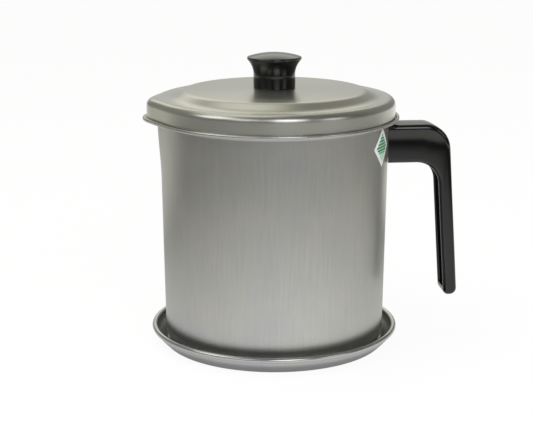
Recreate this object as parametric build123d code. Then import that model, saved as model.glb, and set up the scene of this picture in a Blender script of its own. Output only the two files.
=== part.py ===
from build123d import *
import os
from math import acos, cos, degrees, radians, sin, tan

# Grease pot with a pouring lip, a lift-off lid over a lift-out strainer, a moulded side
# handle and a drip saucer. Millimetres. The origin is the centre of the saucer's underside,
# +Z is up, the lip points along -X and the handle along +X.

os.makedirs("parts", exist_ok=True)

# ---- Pot ----
pot_sheet = 0.6
pot_radius = 60.2  # outside of the wall where it turns out into the rim
pot_height = 120.9  # foot to the top of the flat rim
pot_taper = 1.85  # how much smaller the wall's radius is down at the foot
pot_corner_bend = 10.0
pot_foot_ring_width = 16.35  # from the wall in to the step of the pressed-up base
pot_base_rise = 1.5
pot_foot_bend = 1.2

# ---- Pouring lip and rolled rim ----
lip_height = 31.6  # from the start of the throat's swell up to the flat rim
throat_bulge = 1.2  # how far the throat stands out of the round wall under the rim
throat_nose = 26.0  # nose radius of the throat
rim_bend = 1.8  # outside radius where the wall turns out into the flat rim
rim_turn = 80.0  # degrees that this bend turns before it meets the flat
rim_width = 4.55  # from the pot's wall out to the centre line of the rolled edge
rim_bead_radius = 0.95
rim_bead_lift = 0.25  # centre of the rolled edge above the flat rim
lip_projection = 3.5  # how far the lip reaches past the round rim
lip_nose = 25.0  # nose radius of the lip
throat_stations = 5
rim_stations = 4

# ---- Saucer ----
saucer_sheet = 0.7
saucer_floor_margin = 0.05  # its flat floor reaches this far past the pot's wall
saucer_wall_rise = 5.0  # height of the 45 degree part of the wall
saucer_lip_rise = 3.5  # from there to the centre of the rolled edge
saucer_lip_reach = 1.2
saucer_bead_radius = 1.4
saucer_corner_bend = 2.5
saucer_knee_bend = 7.0

# ---- Strainer ----
strainer_sheet = 0.5
strainer_depth = 27.0
strainer_wall_gap = 2.0  # between the cup and the inside of the pot, under the rim
strainer_taper = 4.6  # how much smaller the cup's radius is at its bottom
strainer_flange_gap = 0.5  # between the flange and the rolled edge of the pot
strainer_flange_bend = 1.6
strainer_corner_bend = 3.0
strainer_ledge = 6.5  # width of the ledge that carries the sieve plate
sieve_thickness = 0.6
sieve_hole_radius = 2.1
sieve_pitch = 7.8  # from one ring of holes to the next
sieve_border = 6.0  # plain edge outside the last ring of holes
sieve_clearance = 0.3  # round the plate inside the cup
gauze_thickness = 0.4
clamp_ring_width = 4.5
clamp_ring_thickness = 1.0

# ---- Lid ----
lid_sheet = 0.6
lid_clearance = 0.3  # between the skirt and the rolled edge of the pot
lid_seat_gap = 0.1  # between the skirt and the strainer's flange
lid_skirt_height = 9.9  # bottom of the skirt to the border
lid_shoulder = 3.0
lid_border_width = 8.9  # skirt to the foot of the dome
lid_border_rise = 0.2  # from the shoulder in to the foot of the dome
lid_slope_width = 7.0  # foot of the dome in to the edge of the crown
lid_slope_rise = 3.7
lid_crown_rise = 1.0
lid_crown_droop = 0.3  # how far the crown has come down halfway out, as a share of its rise
lid_dome_bend = 4.0
lid_seat_margin = 1.6  # flat of the lid round the knob's base

# ---- Knob ----
knob_base_radius = 11.4
knob_waist_radius = 10.9
knob_cap_radius = 14.1
knob_base_height = 5.2
knob_waist_rise = 2.0  # from the base up to the waist
knob_flare_rise = 7.6  # from the waist up to where the cap is widest
knob_cap_edge = 1.2
knob_dome_rise = 2.3
knob_flare_sag = 0.65  # hollow of the curve from the waist out to the cap
knob_foot_round = 0.5
knob_base_round = 1.2
knob_waist_round = 2.0
knob_cap_round_below = 0.45
knob_cap_round_above = 0.7

# ---- Screws, inserts and washers ----
insert_radius = 3.4
knob_insert_length = 10.0
handle_insert_length = 6.0
insert_spare = 0.8  # thread left over past the end of the screw
screw_radius = 2.0
screw_clearance = 0.25
head_radius = 3.8
head_height = 2.4
head_dome = 0.8
cross_width = 1.0
cross_length = 4.2
cross_depth = 1.4
washer_margin = 1.4  # washer past the screw's head, all round
washer_thickness = 0.8

# ---- Handle ----
handle_width = 18.0
handle_edge = 2.5  # rounding of the long edges
handle_reach = 32.4  # pot's wall to the outer face of the leg, at the top of the arm
arm_drop = 4.5  # top of the arm below the pot's flat rim
arm_thickness = 20.5
leg_thickness = 7.2
leg_lean = 3.95  # degrees outwards, going down
leg_length = 94.0
handle_outer_bend = 14.0
handle_inner_bend = 12.5
leg_end_bend = 3.5  # at the bottom of the outer face
leg_end_inner_bend = 2.6
handle_gap = 0.1  # between the arm's end and the pot's wall
channel_wall = 2.8  # each side of the long channel that cores out the grip
channel_depth = 3.2
channel_foot = 7.0  # solid end of the leg below the channel
channel_start = 2.0  # from the screw's counterbore to the channel's upper end

# ---- Bracket inside the handle ----
bracket_sheet = 1.2
bracket_margin = 2.0  # its plate is this much narrower than the handle on each side
weld_gap = 0.05
tongue_width = 11.0
tongue_thickness = 3.0
tongue_reach = 21.0  # past the pot's wall
socket_clearance = 0.3
handle_screw_offset = 13.0  # from the pot's wall to the screw
head_sink = 1.0  # depth of the screw's head inside its counterbore

# ---- Derived sizes and places ----
pot_base_radius = pot_radius - pot_taper
pot_foot_ring_radius = pot_base_radius - pot_foot_ring_width
rim_bead_circle = pot_radius + rim_width
saucer_floor_radius = pot_base_radius + saucer_floor_margin
strainer_top_radius = pot_radius - pot_sheet - strainer_wall_gap
strainer_bottom_radius = strainer_top_radius - strainer_taper
strainer_flange_radius = rim_bead_circle - rim_bead_radius - strainer_flange_gap
lid_inset = rim_bead_radius + lid_clearance
lid_radius = rim_bead_circle - lid_inset
lid_nose = lip_nose - lid_inset
lid_dome_foot = lid_radius - lid_border_width
lid_dome_edge = lid_dome_foot - lid_slope_width
lid_seat = knob_base_radius + lid_seat_margin
washer_radius = head_radius + washer_margin

foot_z = saucer_sheet
rim_z = foot_z + pot_height
lip_start = rim_z - lip_height
flare_z = rim_z - (rim_bend + pot_sheet) * sin(radians(rim_turn))
rim_under_z = flare_z + rim_bend * sin(radians(rim_turn))
bead_z = rim_z + rim_bead_lift
strainer_z = rim_z + strainer_sheet
lid_z = strainer_z + lid_seat_gap
border_z = lid_z + lid_skirt_height
crown_z = border_z + lid_border_rise + lid_slope_rise + lid_crown_rise


def wall_radius(z):
    return pot_base_radius + (pot_radius - pot_base_radius) * (z - foot_z) / (flare_z - foot_z)


def lip_outline(radius, reach, nose):
    # A circle drawn out to a rounded nose along -X by two tangents. With no nose to draw
    # out, the circle is cut in the same four places, so that it still lofts cleanly.
    if reach > radius:
        half = degrees(acos((radius - nose) / (reach - nose)))
        round_part = CenterArc((0, 0), radius, 180 + half, 360 - 2 * half)
        nose_part = CenterArc((nose - reach, 0), nose, 180 - half, 2 * half)
        flanks = [Line(round_part @ 1, nose_part @ 0), Line(nose_part @ 1, round_part @ 0)]
        return make_face([round_part, flanks[0], nose_part, flanks[1]])
    half = degrees(acos((radius - nose) / (radius + throat_bulge - nose)))
    round_part = CenterArc((0, 0), radius, 180 + half, 360 - 2 * half)
    front = [(180 - half, half / 2), (180 - half / 2, half), (180 + half / 2, half / 2)]
    return make_face([round_part, *[CenterArc((0, 0), radius, start, size) for start, size in front]])


def lip_plate(radius, projection, nose, low, high):
    return Pos(0, 0, low) * extrude(lip_outline(radius, radius + projection, nose), high - low)


def turned(profile):
    return revolve(Plane.XZ * profile, Axis.Z)


def pressed_sheet(points, bends, sheet):
    # The points follow the outer face of the sheet, whose thickness lies to their left.
    return make_face(offset(FilletPolyline(*points, radius=bends), sheet, side=Side.LEFT))


def disc(radius, low, high):
    return Pos(0, 0, low) * extrude(Circle(radius), high - low)


def tube(outer, inner, low, high):
    return Pos(0, 0, low) * extrude(Circle(outer) - Circle(inner), high - low)


# ---- Saucer ----
def make_saucer():
    knee = (saucer_floor_radius + saucer_wall_rise, saucer_wall_rise)
    floor_edge = (saucer_floor_radius, 0)
    bead = (knee[0] + saucer_lip_reach, knee[1] + saucer_lip_rise)
    bends = [saucer_corner_bend, saucer_knee_bend]
    pan = turned(pressed_sheet([(0, 0), floor_edge, knee, bead], bends, saucer_sheet))
    return pan + turned(Pos(*bead) * Circle(saucer_bead_radius))


# ---- Pot: a spun wall below, a throat lofted out of it, a flat rim and a rolled edge ----
def pot_shape(inset):
    # The pot as a solid block. An inset of one sheet thickness gives the space inside it.
    foot = foot_z + inset
    centre = foot + pot_base_rise
    # The 45 degree step of the base moves in square to itself.
    knee = pot_foot_ring_radius + inset * tan(radians(45 / 2))
    low = [(0, centre), (knee, centre), (knee + pot_base_rise, foot)]
    low += [(wall_radius(foot_z) - inset, foot), (wall_radius(lip_start) - inset, lip_start)]
    profile = Polyline(*low, (0, lip_start), close=True)
    face = make_face(profile)
    corner = face.vertices().sort_by_distance(low[3])[0]
    face = fillet(corner, pot_corner_bend - inset)
    knees = [face.vertices().sort_by_distance(point)[0] for point in low[1:3]]
    face = fillet(knees, pot_foot_bend)

    throat = []
    for i in range(throat_stations):
        share = i / (throat_stations - 1)
        z = lip_start + share * (flare_z - lip_start)
        radius = wall_radius(z)
        bulge = throat_bulge * share * share * (3 - 2 * share)
        outline = lip_outline(radius - inset, radius + bulge - inset, throat_nose - inset)
        throat.append(Pos(0, 0, z) * outline)

    flare = []
    bend = rim_bend + inset
    for i in range(rim_stations):
        turn = radians(rim_turn * i / (rim_stations - 1))
        grow = bend * (1 - cos(turn)) - inset
        outline = lip_outline(pot_radius + grow, pot_radius + throat_bulge + grow, throat_nose + grow)
        flare.append(Pos(0, 0, flare_z + bend * sin(turn)) * outline)
    return turned(face) + loft(throat) + loft(flare)


def make_pot():
    rim = lip_plate(rim_bead_circle, lip_projection, lip_nose, rim_under_z, rim_z)
    edge = lip_outline(rim_bead_circle, rim_bead_circle + lip_projection, lip_nose)
    path = Pos(0, 0, bead_z) * edge.wire()
    bead = sweep(Plane(origin=path @ 0, z_dir=path % 0) * Circle(rim_bead_radius), path=path)
    return pot_shape(0) + rim + bead - pot_shape(pot_sheet)


# ---- Strainer ----
cup_floor_z = strainer_z - strainer_depth
plate_z = cup_floor_z + strainer_sheet
gauze_z = plate_z + sieve_thickness
ring_z = gauze_z + gauze_thickness
plate_radius = strainer_bottom_radius - strainer_corner_bend - sieve_clearance


def make_strainer_cup():
    ledge = strainer_bottom_radius - strainer_ledge - strainer_corner_bend
    points = [(ledge, cup_floor_z), (strainer_bottom_radius, cup_floor_z)]
    points += [(strainer_top_radius, rim_z), (strainer_flange_radius, rim_z)]
    return turned(pressed_sheet(points, [strainer_corner_bend, strainer_flange_bend], strainer_sheet))


def make_sieve_plate():
    holes = [Pos(0, 0, plate_z) * Circle(sieve_hole_radius)]
    rings = int((plate_radius - sieve_border - sieve_hole_radius) / sieve_pitch)
    for ring in range(1, rings + 1):
        spots = PolarLocations(ring * sieve_pitch, 6 * ring)
        holes += [Pos(0, 0, plate_z) * spot * Circle(sieve_hole_radius) for spot in spots]
    return extrude(Pos(0, 0, plate_z) * Circle(plate_radius) - holes, sieve_thickness)


def make_gauze():
    return disc(plate_radius, gauze_z, ring_z)


def make_clamp_ring():
    return tube(plate_radius, plate_radius - clamp_ring_width, ring_z, ring_z + clamp_ring_thickness)


# ---- Lid ----
def lid_shape(inset):
    skirt = lip_plate(lid_radius - inset, lip_projection, lid_nose - inset, lid_z, border_z - inset)
    skirt = fillet(skirt.faces().sort_by(Axis.Z)[-1].outer_wire().edges(), lid_shoulder - inset)
    base = border_z - inset
    edge = base + lid_border_rise + lid_slope_rise
    top = crown_z - inset
    seat = (lid_seat, top)
    halfway = ((lid_seat + lid_dome_edge) / 2, top - lid_crown_droop * lid_crown_rise)
    crown = ThreePointArc(seat, halfway, (lid_dome_edge, edge))
    dome_foot = (lid_dome_foot, base + lid_border_rise)
    border = (lid_radius - lid_shoulder, base)
    slope = Polyline((lid_dome_edge, edge), dome_foot, border)
    under = Polyline(border, (border[0], lid_z), (0, lid_z), (0, top), seat)
    face = make_face([crown, *slope.edges(), *under.edges()])
    knees = [face.vertices().sort_by_distance(point)[0] for point in ((lid_dome_edge, edge), dome_foot)]
    return skirt + turned(fillet(knees, lid_dome_bend))


def make_lid():
    hole = disc(screw_radius + screw_clearance, lid_z, crown_z + lid_sheet)
    return lid_shape(0) - lid_shape(lid_sheet) - hole


# ---- Knob ----
def make_knob():
    foot = (knob_base_radius, 0)
    base = (knob_base_radius, knob_base_height)
    waist = (knob_waist_radius, knob_base_height + knob_waist_rise)
    cap = (knob_cap_radius, waist[1] + knob_flare_rise)
    edge = (knob_cap_radius, cap[1] + knob_cap_edge)
    bends = [
        (cap, knob_cap_round_below),
        (edge, knob_cap_round_above),
        (waist, knob_waist_round),
        (base, knob_base_round),
        (foot, knob_foot_round),
    ]
    # The whole silhouette, so that the dome is one arc; half of it is then turned.
    side = [Line(foot, base), Line(base, waist), SagittaArc(waist, cap, knob_flare_sag), Line(cap, edge)]
    dome = SagittaArc(edge, (-edge[0], edge[1]), -knob_dome_rise)
    bottom = Line((-foot[0], 0), foot)
    face = make_face([bottom, *side, dome, *[mirror(line, Plane.YZ) for line in side]])
    for (x, y), bend in bends:
        for corner in ((x, y), (-x, y)):
            face = fillet(face.vertices().sort_by_distance(corner)[0], bend)
    half_plane = Pos(edge[1], 0) * Rectangle(2 * edge[1], 4 * edge[1])
    bore = disc(insert_radius, 0, knob_insert_length)
    return Pos(0, 0, crown_z) * (turned(face & half_plane) - bore)


def threaded_insert(length):
    return disc(insert_radius, 0, length) - disc(screw_radius, 0, length)


def make_screw(length):
    # Pan head below, shank up. The shank's root is the head's bearing face at the origin.
    head = disc(head_radius, -head_height, 0)
    head = fillet(head.edges().group_by(Axis.Z)[0], head_dome)
    arm = Box(cross_length, cross_width, cross_depth, align=(Align.CENTER, Align.CENTER, Align.MIN))
    cross = arm + Rot(0, 0, 90) * arm
    return head + disc(screw_radius, 0, length) - Pos(0, 0, -head_height) * cross


def make_washer():
    return tube(washer_radius, screw_radius + screw_clearance, 0, washer_thickness)


# ---- Handle ----
leg_slope = tan(radians(leg_lean))
leg_reach = pot_radius + handle_reach
arm_top = rim_z - arm_drop
arm_bottom = arm_top - arm_thickness
arm_middle = (arm_top + arm_bottom) / 2
arm_wall_radius = wall_radius(arm_middle)
leg_bottom = arm_top - leg_length
bracket_width = handle_width - 2 * bracket_margin
screw_x = arm_wall_radius + handle_screw_offset
counterbore_radius = washer_radius + screw_clearance
handle_seat_z = arm_bottom + head_sink + head_height  # under the washer
handle_insert_z = arm_middle + tongue_thickness / 2 + socket_clearance


def leg_outside(z):
    return leg_reach + (arm_top - z) * leg_slope


def leg_inside(z):
    return leg_outside(z) - leg_thickness / cos(radians(leg_lean))


def along_y(face, width):
    # A face drawn in the XZ plane, as a slab centred on it.
    return extrude(Plane.XZ * face, width / 2, both=True)


def handle_block():
    # The outline of arm and leg, as thick as the handle is wide, with all its long edges rounded.
    inner_end = pot_radius / 2
    corners = [
        ((leg_inside(arm_bottom), arm_bottom), handle_inner_bend),
        ((leg_inside(leg_bottom), leg_bottom), leg_end_inner_bend),
        ((leg_outside(leg_bottom), leg_bottom), leg_end_bend),
        ((leg_reach, arm_top), handle_outer_bend),
    ]
    points = [(inner_end, arm_bottom), *[point for point, bend in corners], (inner_end, arm_top)]
    face = make_face(Polyline(*points, close=True))
    for point, bend in corners:
        face = fillet(face.vertices().sort_by_distance(point)[0], bend)
    block = along_y(face, handle_width)
    sides = block.faces().sort_by(Axis.Y)
    return fillet(sides[0].edges() + sides[-1].edges(), handle_edge)


def handle_channel():
    # The long channel in the face towards the pot. It runs out under the arm past the screw.
    foot = leg_bottom + channel_foot
    start = (leg_inside(foot), foot)
    corner = (leg_inside(arm_bottom), arm_bottom)
    end = (pot_radius, arm_bottom)
    floor_line = FilletPolyline(start, corner, end, radius=handle_inner_bend)
    band = make_face(offset(floor_line, channel_depth, side=Side.RIGHT))
    outer = make_face(Polyline(start, corner, end, close=True))
    first_x = screw_x + counterbore_radius + channel_start
    solid_part = Pos(first_x - arm_thickness, arm_bottom) * Rectangle(2 * arm_thickness, 2 * arm_thickness)
    return along_y(band + outer - solid_part, handle_width - 2 * channel_wall)


def make_handle():
    # The end is hollowed to the pot's wall, and a pocket and a socket take the bracket.
    wall = disc(wall_radius(arm_top) + handle_gap, arm_bottom - arm_thickness, arm_top + arm_thickness)
    plate_depth = bracket_sheet + weld_gap + socket_clearance
    pocket_width = bracket_width + 2 * socket_clearance
    pocket = Box(plate_depth + 2 * handle_edge, pocket_width, pocket_width)
    socket_length = tongue_reach + socket_clearance
    socket = Box(socket_length, tongue_width + 2 * socket_clearance, tongue_thickness + 2 * socket_clearance)
    solid = handle_block() - handle_channel() - wall
    solid -= Pos(arm_wall_radius + plate_depth / 2, 0, arm_middle) * pocket
    solid -= Pos(arm_wall_radius + socket_length / 2, 0, arm_middle) * socket
    bores = disc(screw_radius + screw_clearance, arm_bottom, handle_insert_z)
    bores += disc(counterbore_radius, arm_bottom - channel_depth, handle_seat_z + washer_thickness)
    bores += disc(insert_radius, handle_insert_z, handle_insert_z + handle_insert_length)
    return solid - Pos(screw_x, 0, 0) * bores


def make_bracket():
    half_turn = degrees(bracket_width / 2 / arm_wall_radius)
    low, high = arm_middle - bracket_width / 2, arm_middle + bracket_width / 2
    inner = [(wall_radius(z) + weld_gap, z) for z in (low, high)]
    outer = [(radius + bracket_sheet, z) for radius, z in reversed(inner)]
    plate = revolve(Plane.XZ * make_face(Polyline(*inner, *outer, close=True)), Axis.Z, 2 * half_turn)
    plate = Rot(0, 0, -half_turn) * plate
    length = tongue_reach - bracket_sheet / 2
    tongue = Box(length, tongue_width, tongue_thickness, align=(Align.MIN, Align.CENTER, Align.CENTER))
    tongue = Pos(arm_wall_radius + bracket_sheet / 2 + weld_gap, 0, arm_middle) * tongue
    hole = Pos(screw_x, 0, 0) * disc(screw_radius + screw_clearance, low, high)
    return plate + tongue - hole


# ---- All the pieces in place ----
knob_seat_z = crown_z - lid_sheet - washer_thickness
knob_screw_length = crown_z - knob_seat_z + knob_insert_length - insert_spare
handle_screw_length = handle_insert_z - handle_seat_z + handle_insert_length - insert_spare

parts = {
    "saucer": make_saucer(),
    "pot_body": make_pot(),
    "handle_bracket": make_bracket(),
    "handle": make_handle(),
    "handle_insert": Pos(screw_x, 0, handle_insert_z) * threaded_insert(handle_insert_length),
    "handle_screw": Pos(screw_x, 0, handle_seat_z) * make_screw(handle_screw_length),
    "handle_washer": Pos(screw_x, 0, handle_seat_z) * make_washer(),
    "strainer_cup": make_strainer_cup(),
    "sieve_plate": make_sieve_plate(),
    "strainer_gauze": make_gauze(),
    "clamp_ring": make_clamp_ring(),
    "lid": make_lid(),
    "lid_knob": make_knob(),
    "knob_insert": Pos(0, 0, crown_z) * threaded_insert(knob_insert_length),
    "knob_screw": Pos(0, 0, knob_seat_z) * make_screw(knob_screw_length),
    "knob_washer": Pos(0, 0, knob_seat_z) * make_washer(),
}

for node, shape in parts.items():
    export_step(shape, f"parts/{node}.step")
    print(node, round(shape.volume), shape.is_valid)
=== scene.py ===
from math import acos, atan2, cos, hypot, pi, radians, sin, sqrt, tan

import bpy
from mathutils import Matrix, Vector


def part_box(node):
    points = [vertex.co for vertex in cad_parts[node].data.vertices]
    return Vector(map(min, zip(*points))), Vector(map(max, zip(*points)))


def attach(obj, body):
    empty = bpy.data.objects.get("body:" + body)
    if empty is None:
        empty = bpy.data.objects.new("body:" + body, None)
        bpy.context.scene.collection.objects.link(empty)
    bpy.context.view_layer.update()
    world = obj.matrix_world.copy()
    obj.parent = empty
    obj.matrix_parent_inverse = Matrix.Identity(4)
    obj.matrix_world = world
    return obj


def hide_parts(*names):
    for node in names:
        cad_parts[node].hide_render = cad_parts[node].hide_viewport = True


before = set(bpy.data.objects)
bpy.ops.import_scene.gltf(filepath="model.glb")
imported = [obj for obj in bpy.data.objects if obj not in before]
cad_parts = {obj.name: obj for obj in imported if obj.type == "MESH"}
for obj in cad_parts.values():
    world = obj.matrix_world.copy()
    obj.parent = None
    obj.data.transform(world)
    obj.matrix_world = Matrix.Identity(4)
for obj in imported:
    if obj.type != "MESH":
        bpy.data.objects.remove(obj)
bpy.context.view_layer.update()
print("frame loaded:", len(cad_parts), "nodes")

mm = 0.001
turnSteps = 192  # facets round every turned piece
cornerSteps = 8  # segments in each bent corner
sharpAngle = 32  # degrees; edges that bend more stay sharp
mergeDistance = 0.002 * mm
noiseSpread = (0.3, 0.7)  # most values of a noise lie between these
white = (1, 1, 1, 1)
softly = {"interpolation_type": "SMOOTHSTEP"}


def deselectAll():
    if bpy.context.mode != "OBJECT":
        bpy.ops.object.mode_set(mode="OBJECT")
    bpy.ops.object.select_all(action="DESELECT")


def makeActive(piece):
    deselectAll()
    piece.select_set(True)
    bpy.context.view_layer.objects.active = piece


def roundedPath(points, bends, steps=cornerSteps):
    # a path of (x, z) points whose inner corners are arcs; a bend of 0 keeps the corner sharp
    path = [Vector(points[0])]
    for before, corner, after, bend in zip(points, points[1:], points[2:], bends):
        corner = Vector(corner)
        if not bend:
            path.append(corner)
            continue
        back = (Vector(before) - corner).normalized()
        ahead = (Vector(after) - corner).normalized()
        half = back.angle(ahead) / 2
        centre = corner + (back + ahead).normalized() * bend / sin(half)
        first = corner + back * bend / tan(half) - centre
        last = corner + ahead * bend / tan(half) - centre
        path += [centre + first.slerp(last, i / steps) * bend for i in range(steps + 1)]
    return path + [Vector(points[-1])]


def turned(arm, angle):
    return Vector((arm.x * cos(angle) - arm.y * sin(angle), arm.x * sin(angle) + arm.y * cos(angle)))


def sagArc(start, end, sag, steps):
    # points of a shallow arc after its start; sag is how far its middle stands to the left
    start, end = Vector(start), Vector(end)
    chord = end - start
    half = chord.length / 2
    left = Vector((-chord.y, chord.x)).normalized()
    radius = (half ** 2 + sag ** 2) / (2 * sag)
    centre = (start + end) / 2 + left * (sag - radius)
    spread = 2 * (atan2(half, radius - sag) if radius > 0 else -atan2(half, sag - radius))
    return [centre + turned(start - centre, -spread * i / steps) for i in range(1, steps + 1)]


def beadArc(centre, start, end, steps):
    # the rolled edge from start round the outside and over the top to end
    arm, last = Vector(start) - Vector(centre), Vector(end) - Vector(centre)
    turn = (atan2(last.y, last.x) - atan2(arm.y, arm.x)) % (2 * pi)
    return [Vector(centre) + turned(arm, turn * i / steps) for i in range(1, steps)]


def drawOutline(name, path, depth=0.0):
    # one point is extruded along the path of (x, z) points in millimetres, at y = depth
    deselectAll()
    first = path[0]
    bpy.ops.mesh.primitive_plane_add(size=mm, location=(first.x * mm, depth * mm, first.y * mm))
    piece = bpy.context.object
    piece.name = piece.data.name = name
    bpy.ops.object.transform_apply(location=True, rotation=True, scale=True)
    bpy.ops.object.mode_set(mode="EDIT")
    bpy.ops.mesh.select_mode(type="VERT")
    bpy.ops.mesh.select_all(action="SELECT")
    bpy.ops.mesh.merge(type="CENTER")
    for here, there in zip(path, path[1:]):
        step = ((there.x - here.x) * mm, 0, (there.y - here.y) * mm)
        bpy.ops.mesh.extrude_region_move(TRANSFORM_OT_translate={"value": step})
    return piece


def turnOutline(name, path):
    # the outline is spun round the pot's axis, and its doubles are merged
    piece = drawOutline(name, path)
    bpy.ops.mesh.select_all(action="SELECT")
    bpy.ops.mesh.spin(steps=turnSteps, angle=2 * pi, center=(0, 0, 0), axis=(0, 0, 1))
    bpy.ops.mesh.select_all(action="SELECT")
    bpy.ops.mesh.remove_doubles(threshold=mergeDistance)
    bpy.ops.mesh.normals_make_consistent(inside=False)
    bpy.ops.object.mode_set(mode="OBJECT")
    return piece


def applyModifier(piece, kind, **settings):
    makeActive(piece)
    modifier = piece.modifiers.new(kind.title(), kind)
    for key, value in settings.items():
        setattr(modifier, key, value)
    bpy.ops.object.modifier_apply(modifier=modifier.name)


def smooth(piece, angle=sharpAngle):
    makeActive(piece)
    bpy.ops.object.shade_smooth_by_angle(angle=radians(angle))


def lipPush(y, radius, projection, nose):
    # how far a circle's point at y moves along -X when the circle is drawn out to a nose by two tangents
    if projection <= 0 or abs(y) >= radius:
        return 0.0
    half = acos((radius - nose) / (radius + projection - nose))
    onCircle = sqrt(radius ** 2 - y ** 2)
    if abs(y) >= radius * sin(half):
        return 0.0
    if abs(y) > nose * sin(half):
        return (radius - abs(y) * sin(half)) / cos(half) - onCircle
    return radius + projection - nose + sqrt(nose ** 2 - y ** 2) - onCircle


def drawOutLip(piece, most, pushAt):
    # weights say how far each point goes, and a displace along X draws the lip out
    group = piece.vertex_groups.new(name="lip")
    for v in piece.data.vertices:
        if v.co.x < 0:
            push = pushAt(hypot(v.co.x, v.co.y) / mm, v.co.y / mm, v.co.z / mm)
            if push > 0:
                group.add([v.index], push / most, "REPLACE")
    applyModifier(piece, "DISPLACE", direction="X", mid_level=0, strength=-most * mm, vertex_group="lip")
    piece.vertex_groups.remove(piece.vertex_groups["lip"])


def ease(share):
    share = min(max(share, 0), 1)
    return share * share * (3 - 2 * share)


def hexColour(code):
    # sRGB hex to the linear colour that the shaders work in
    values = [int(code[i:i + 2], 16) / 255 for i in (0, 2, 4)]
    return [v / 12.92 if v <= 0.04045 else ((v + 0.055) / 1.055) ** 2.4 for v in values] + [1.0]


def addNode(tree, kind, settings=None, links=None):
    # settings name sockets or properties of the node, and links are socket: (node, output);
    # From and To are both ends of a range, and stops are the (place, hex colour) pairs of a ramp
    node = tree.nodes.new(kind)
    for key, value in (settings or {}).items():
        if key in ("From", "To"):
            node.inputs[key + " Min"].default_value, node.inputs[key + " Max"].default_value = value
        elif key == "stops":
            for element, (position, code) in zip(node.color_ramp.elements, value):
                element.position, element.color = position, hexColour(code)
        elif isinstance(key, int) or key in node.inputs:
            node.inputs[key].default_value = value
        else:
            setattr(node, key, value)
    for key, (source, output) in (links or {}).items():
        tree.links.new(source.outputs[output], node.inputs[key])
    return node


def newMaterial(name):
    material = bpy.data.materials.new(name)
    material.use_nodes = True
    material.node_tree.nodes.clear()
    return material, material.node_tree


def dress(nodeName, material):
    # a CAD node keeps its shape and takes this finish
    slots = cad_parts[nodeName].data.materials
    slots.clear()
    slots.append(material)


def finishPiece(piece, body, material, slotName, *nodes):
    piece.data.materials.clear()
    piece.data.materials.append(material)
    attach(piece, body)
    if nodes:
        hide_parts(*nodes)
    deselectAll()


camera = {
    "place": (-0.08205, -0.74126, 0.24847),
    "tilt": 76.463,  # degrees up from looking straight down
    "turn": -6.0,
    "lens": 96.84,
    "sensor": 36.0,
}

deselectAll()
bpy.ops.object.camera_add(location=camera["place"],
                          rotation=(radians(camera["tilt"]), 0, radians(camera["turn"])))
cameraObject = bpy.context.object
cameraObject.data.lens = camera["lens"]
cameraObject.data.sensor_width = camera["sensor"]
bpy.context.scene.camera = cameraObject
print("camera placed")


def coatedSteel(name, settings):
    # Steel sheet with a thin baked silver-grey coating over a brushed ground: a satin metal,
    # faintly olive, whose brushing shows as fine streaks and blurs what it mirrors.
    material, tree = newMaterial(name)
    place = addNode(tree, "ShaderNodeTexCoord")
    across, along = 1000 / settings["streakWidth"], 1000 / settings["streakLength"]
    stretch = addNode(tree, "ShaderNodeMapping", {"Scale": settings["streakAxes"](across, along)},
                      {"Vector": (place, "Object")})
    streaks = addNode(tree, "ShaderNodeTexNoise", {"Scale": 1.0, "Detail": 3.0, "Roughness": 0.6},
                      {"Vector": (stretch, "Vector")})
    clouds = addNode(tree, "ShaderNodeTexNoise",
                     {"Scale": 1000 / settings["cloudSize"], "Detail": 6.0, "Roughness": 0.65},
                     {"Vector": (place, "Object")})
    grain = addNode(tree, "ShaderNodeTexNoise", {"Scale": 1000 / settings["grainSize"], "Detail": 2.0},
                    {"Vector": (place, "Object")})
    tone = addNode(tree, "ShaderNodeValToRGB",
                   {"stops": zip(settings["streakSpread"], (settings["dark"], settings["light"]))},
                   {"Fac": (streaks, "Fac")})
    tint = addNode(tree, "ShaderNodeValToRGB",
                   {"stops": zip(settings["cloudSpread"], (settings["cool"], settings["warm"]))},
                   {"Fac": (clouds, "Fac")})
    colour = addNode(tree, "ShaderNodeMix", {"data_type": "RGBA", "blend_type": "MULTIPLY", 0: 1.0},
                     {6: (tone, "Color"), 7: (tint, "Color")})
    mean, spread = settings["roughness"], settings["roughSpread"]
    wallRough = addNode(tree, "ShaderNodeMapRange",
                        {"From": noiseSpread, "To": (mean - spread, mean + spread)},
                        {"Value": (streaks, "Fac")})
    parts = addNode(tree, "ShaderNodeSeparateXYZ", None, {"Vector": (place, "Object")})
    height, blend = settings["rimHeight"], settings["rimBlend"]
    rim = addNode(tree, "ShaderNodeMapRange", {"From": ((height - blend) * mm, (height + blend) * mm)},
                  {"Value": (parts, "Z")})
    rough = addNode(tree, "ShaderNodeMix", {"data_type": "FLOAT", 3: settings["rimRoughness"]},
                    {0: (rim, "Result"), 2: (wallRough, "Result")})
    ground = addNode(tree, "ShaderNodeBump",
                     {"Strength": settings["streakBump"], "Distance": settings["bumpDepth"] * mm},
                     {"Height": (streaks, "Fac")})
    skin = addNode(tree, "ShaderNodeBump",
                   {"Strength": settings["grainBump"], "Distance": settings["bumpDepth"] * mm},
                   {"Height": (grain, "Fac"), "Normal": (ground, "Normal")})
    # the tangent runs round the pot, and a quarter turn of it makes the blur stand across rings
    around = addNode(tree, "ShaderNodeTangent", {"direction_type": "RADIAL", "axis": "Z"})
    shader = addNode(tree, "ShaderNodeBsdfPrincipled",
                     {"Metallic": settings["metal"], "Anisotropic": settings["anisotropy"],
                      "Anisotropic Rotation": settings["blurTurn"]},
                     {"Base Color": (colour, 2), "Roughness": (rough, 0), "Normal": (skin, "Normal"),
                      "Tangent": (around, "Tangent")})
    addNode(tree, "ShaderNodeOutputMaterial", None, {"Surface": (shader, "BSDF")})
    return material


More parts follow.
